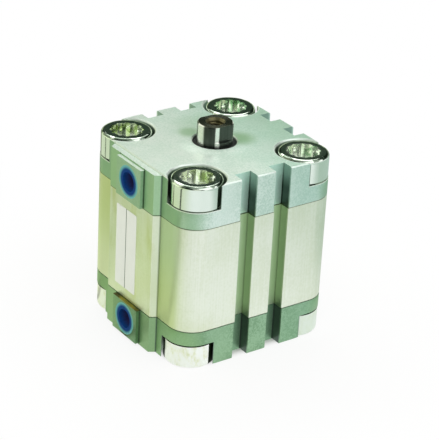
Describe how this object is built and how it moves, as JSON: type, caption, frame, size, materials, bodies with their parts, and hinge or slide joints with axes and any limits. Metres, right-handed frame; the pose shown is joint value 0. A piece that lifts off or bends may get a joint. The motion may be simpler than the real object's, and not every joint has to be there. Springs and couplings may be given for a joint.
{
  "type": "compact pneumatic cylinder",
  "caption": "Square compact pneumatic cylinder: profile barrel with sensor grooves between two caps, collar screws in corner pockets, plugged side ports, short rod with a female thread.",
  "frame": {"origin": "centre of the rear cap's outer face, on the rod's axis", "axes": "+Z along the rod, out of the front cap; the two air ports face -Y"},
  "size_m": [0.0596, 0.0631, 0.0722],
  "materials": {
    "barrel_alloy": "brushed anodised",
    "cap_alloy": "satin blasted",
    "screw_steel": "polished",
    "rod_chrome": "polished",
    "piston_alloy": "turned",
    "clamp_steel": "plain",
    "bush_bronze": "sintered",
    "seal_rubber": "matte",
    "magnet_compound": "bonded compound",
    "guide_plastic": "moulded",
    "plug_plastic": "moulded"
  },
  "bodies": {
    "housing": {"cylinder_barrel": "barrel_alloy", "front_cap": "cap_alloy", "rear_cap": "cap_alloy", "front_collar_screws": "screw_steel", "rear_collar_screws": "screw_steel", "rod_bush": "bush_bronze", "rod_seal": "seal_rubber", "front_o_ring": "seal_rubber", "rear_o_ring": "seal_rubber", "front_port_plug": "plug_plastic", "rear_port_plug": "plug_plastic"},
    "seal_set": {"piston_seal_front": "seal_rubber", "piston_seal_rear": "seal_rubber", "guide_ring": "guide_plastic"},
    "rod": {"piston_rod": "rod_chrome", "piston_front_disc": "piston_alloy", "piston_rear_disc": "piston_alloy", "magnet_ring": "magnet_compound", "piston_screw": "clamp_steel", "rod_o_ring": "seal_rubber", "front_bumper": "seal_rubber", "rear_bumper": "seal_rubber"}
  },
  "joints": [
    {"name": "rod_stroke", "type": "slide", "parent": "housing", "child": "seal_set", "axis": [0, 0, 1], "range_m": [0, 0.02]},
    {"name": "rod_turn", "type": "hinge", "parent": "seal_set", "child": "rod", "pos_m": [0, 0, 0.02], "axis": [0, 0, 1], "continuous": true}
  ]
}
